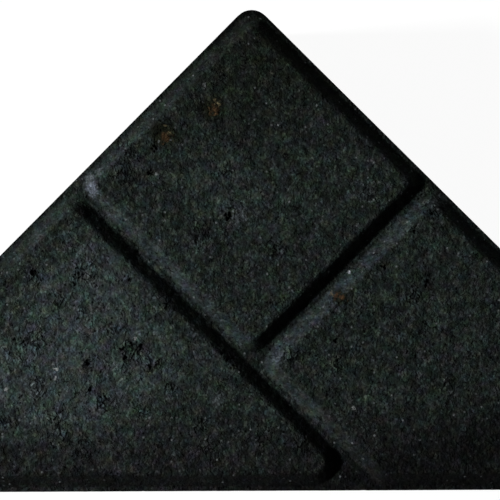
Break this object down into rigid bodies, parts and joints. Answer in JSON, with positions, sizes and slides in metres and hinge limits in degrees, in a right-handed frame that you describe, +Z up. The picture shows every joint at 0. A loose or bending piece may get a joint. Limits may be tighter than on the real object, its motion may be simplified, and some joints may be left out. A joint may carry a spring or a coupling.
{
  "type": "interlocking paver",
  "caption": "Bishop's mitre edge paver of pressed concrete: right-angled apex over a straight edge, with dummy joints dividing its bevelled face, to end a brick herringbone along a kerb.",
  "frame": {"origin": "on the bed face, under the middle of the plan's bounding box", "axes": "+X along the straight edge, to the right as the picture shows it; +Y from the straight edge to the apex; +Z up, out of the wearing face"},
  "size_m": [0.297, 0.1978, 0.08],
  "materials": {
    "concrete": "matt through-coloured black concrete, fine pressed grain with small pits"
  },
  "bodies": {
    "root": {"paver": "concrete"}
  },
  "joints": []
}
